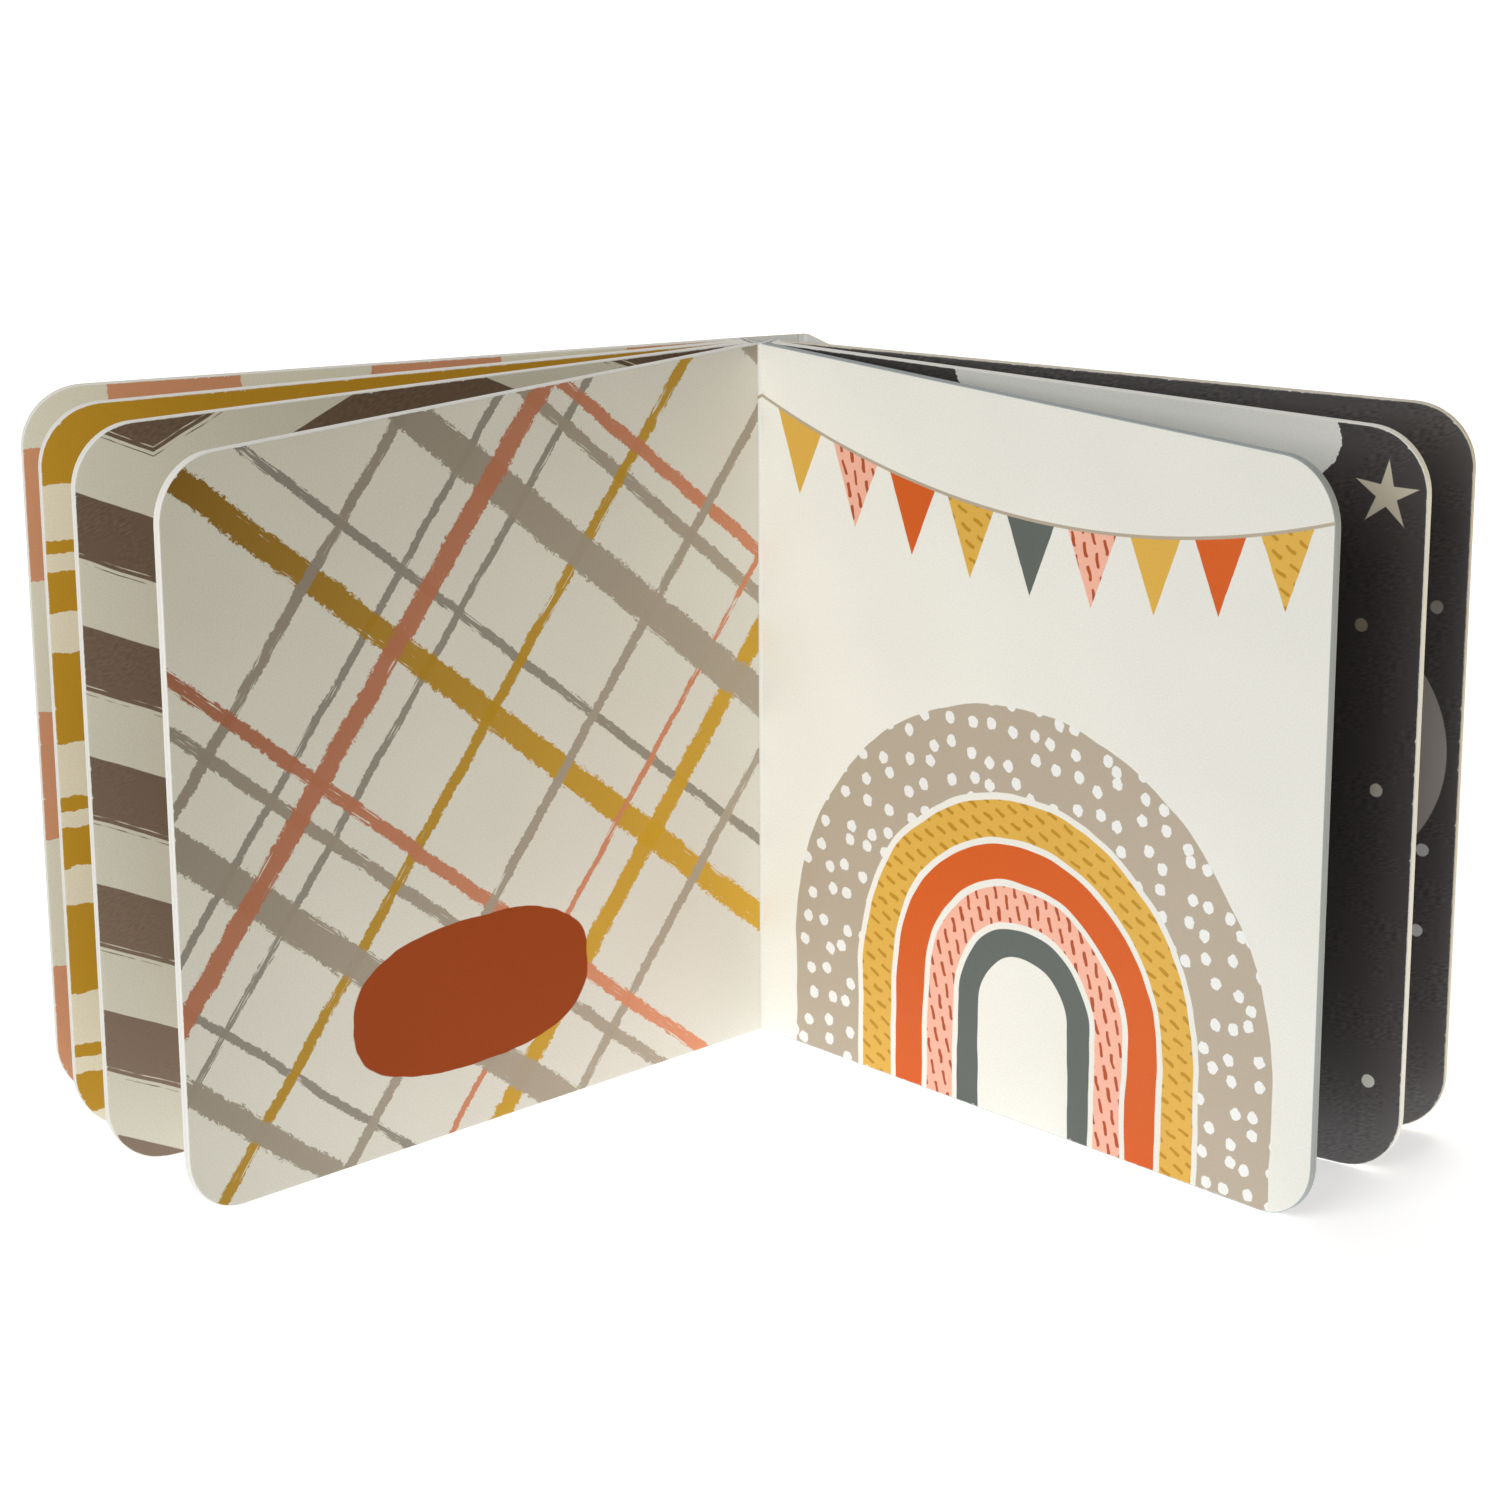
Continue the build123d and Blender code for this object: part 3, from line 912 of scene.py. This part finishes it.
page_middle = cover_offset + sheet / 2
page_hinge_line = cover_point(*front_fold, np.linspace(0, page_hinge, 13), page_middle)
front_page_hinge = strip_piece(
    "front_page_hinge", page_hinge_line, sheet, first_page_faces, "front_cover", leaf_width, -1
)
card_hinge_line = np.vstack([
    front_crease - np.outer(np.linspace(card_tail, 0, 9), spine_way),
    arc(front_pivot, fold_wrap_radius, np.degrees(crease_angle), 180 - front_angle, 4)[1:],
    cover_point(*front_fold, np.linspace(0, card_hinge, 13), fold_wrap_radius)[1:],
])
front_card_hinge = strip_piece("front_card_hinge", card_hinge_line, card, card_faces, "front_cover")

# The back cover: the last page, the card glued to it past the glue line, and the card's free strip

back_fold = (RIGHT, back_angle, back_pivot)
last_page_faces = [moon_page, raw_board, cover_edge]
back_hinge, panel_start = 1.3, glue_line + lift_radius
back_page = board_piece(
    "back_cover_page", *back_fold, cover_offset, page_back, last_page_faces, "back_cover", back_hinge
)
back_card = board_piece(
    "back_cover_card", *back_fold, page_back, card_back, card_faces, "back_cover", panel_start, 0.15
)
free_line = rounded_path(
    np.array([
        lift_point + lift_radius * along(RIGHT, back_angle), lift_point, back_crease,
        back_crease + crease_return * spine_way,
    ]),
    (lift_radius - 0.01, crease_radius),  # a touch tighter, so that a little of the first run stays
)
back_strip = strip_piece("back_cover_strip", free_line, card, card_faces, "back_cover")
for piece, slot in ((back_page, "page_board"), (back_card, "cover_board"), (back_strip, "cover_card")):
    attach(piece, "back_cover")

back_hinge_line = cover_point(*back_fold, np.linspace(0, back_hinge, 9), page_middle)
back_page_hinge = strip_piece(
    "back_page_hinge", back_hinge_line, sheet, [raw_board, moon_page, board_edge], "back_cover"
)

# The spine: the card between its two creases

spine_start, spine_end = front_crease - card_tail * spine_way, back_crease + crease_return * spine_way
spine_line = np.linspace(spine_start, spine_end, 41)
spine_card = strip_piece("spine_card", spine_line, card, [cover_laminate, raw_board, cover_edge], "spine")


def bend(piece):
    """Bakes a strip's placing into its mesh."""
    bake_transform(piece)


bend(front_page_hinge)
bend(front_card_hinge)
bend(back_page_hinge)
bend(spine_card)


# The floor, the light and the camera


def floor_material():
    """White table top that shows white to the camera wherever light falls on it, and keeps the shadow.
    For diffuse rays it also glows though it is no lamp, a painted glow that lights the pages from below,
    most of it in front of the right leaf."""
    material, tree, shader = new_material("table_top")
    tree.join((0.9, 0.9, 0.9), shader.inputs["Base Color"])
    shader.inputs["Roughness"].default_value = 0.7
    place = tree.add("ShaderNodeTexCoord").outputs["Object"]
    far = tree.ramp(tree.vector("LENGTH", place), 1.6, -0.4, clamp=True)
    from_right_leaf = tree.vector("DISTANCE", place, (0.08, -0.12, 0.0))
    beside = tree.ramp(from_right_leaf, 5.0, -0.7, clamp=True)
    path = tree.add("ShaderNodeLightPath").outputs
    looked_at = tree.plus(path["Is Camera Ray"], path["Is Glossy Ray"])
    seen = tree.times(looked_at, tree.ramp(far, 0.27, 0.62))
    # Painted glow: floor emission for diffuse rays only, strongest in front of the right leaf
    pool = tree.times(path["Is Diffuse Ray"], tree.ramp(beside, -0.7, 0.7))
    tree.join(tree.plus(seen, pool), shader.inputs["Emission Strength"])
    tint = tree.mix(path["Is Diffuse Ray"], (1, 1, 1), (0.94, 1.0, 1.08))
    tree.join(tint, shader.inputs["Emission Color"])
    material.cycles.emission_sampling = "NONE"
    return material


def make_floor():
    """A level square just below the book's foot, in metres."""
    half, level = 3.0, -0.00002
    corners = [(-half, -half, level), (half, -half, level), (half, half, level), (-half, half, level)]
    mesh = bpy.data.meshes.new("floor")
    mesh.from_pydata(corners, [], [[0, 1, 2, 3]])
    mesh.materials.append(floor_material())
    floor = bpy.data.objects.new("floor", mesh)
    bpy.context.scene.collection.objects.link(floor)


def light_world(strength):
    """Even light from all round, and white behind everything the camera sees."""
    world = bpy.data.worlds.new("studio")
    bpy.context.scene.world = world
    world.use_nodes = True
    tree = Tree(world.node_tree)
    seen = tree.add("ShaderNodeLightPath").outputs["Is Camera Ray"]
    background = world.node_tree.nodes["Background"]
    all_round = (strength, strength, strength * 0.99)
    tree.join(tree.mix(seen, all_round, (1, 1, 1)), background.inputs["Color"])


def softbox(name, azimuth, elevation, distance, size, watts, colour=(1.0, 1.0, 1.0)):
    """A square lamp that faces the book's middle; azimuth 0 is the reader's side, and grows rightwards."""
    middle = np.array([0, -0.05, 0.07])
    a, e = radians(azimuth), radians(elevation)
    way = np.array([sin(a) * cos(e), -cos(a) * cos(e), sin(e)])
    lamp = bpy.data.lights.new(name, "AREA")
    lamp.shape = "SQUARE"
    lamp.size = size
    lamp.energy = watts
    lamp.color = colour
    holder = bpy.data.objects.new(name, lamp)
    holder.visible_camera = False
    right = np.cross([0, 0, 1.0], way)
    right /= np.linalg.norm(right)
    up = np.cross(way, right)
    turned = np.eye(4)
    turned[:3, :3] = np.column_stack([right, up, way])
    turned[:3, 3] = middle + distance * way
    holder.matrix_world = Matrix(turned.tolist())
    bpy.context.scene.collection.objects.link(holder)


make_floor()
light_world(0.15)
softbox("front_left_softbox", -34, 30, 1.2, 0.8, 7.8)
softbox("back_softbox", 170, 50, 1.0, 0.7, 3.0)
# So low that, of all that shows in the photo, it lights only the fore edges on the right
softbox("right_lamp", 104, 0.3, 1.2, 0.15, 5.0, (1.0, 0.8, 0.45))

# The camera's lens, shift, angles and place come from the fit to the photo's leaf edges
view = bpy.data.cameras.new("camera")
view.lens, view.sensor_width = 102.44, 36.0
view.shift_x, view.shift_y = -0.0219, 0.0087
view.clip_start, view.clip_end = 0.05, 20.0
pitch, yaw, roll = radians(17.84), radians(1.232), radians(-0.141)
gaze = np.array([-sin(yaw) * cos(pitch), cos(yaw) * cos(pitch), -sin(pitch)])
level = np.array([cos(yaw), sin(yaw), 0])
upright = np.cross(level, gaze)
placing = np.eye(4)
placing[:3, 0] = cos(roll) * level + sin(roll) * upright
placing[:3, 1] = -sin(roll) * level + cos(roll) * upright
placing[:3, 2] = -gaze
placing[:3, 3] = (0.0232, -0.8666, 0.33966)
camera = bpy.data.objects.new("camera", view)
camera.matrix_world = Matrix(placing.tolist())
bpy.context.scene.collection.objects.link(camera)
bpy.context.scene.camera = camera
bpy.context.scene.view_settings.view_transform = "Standard"
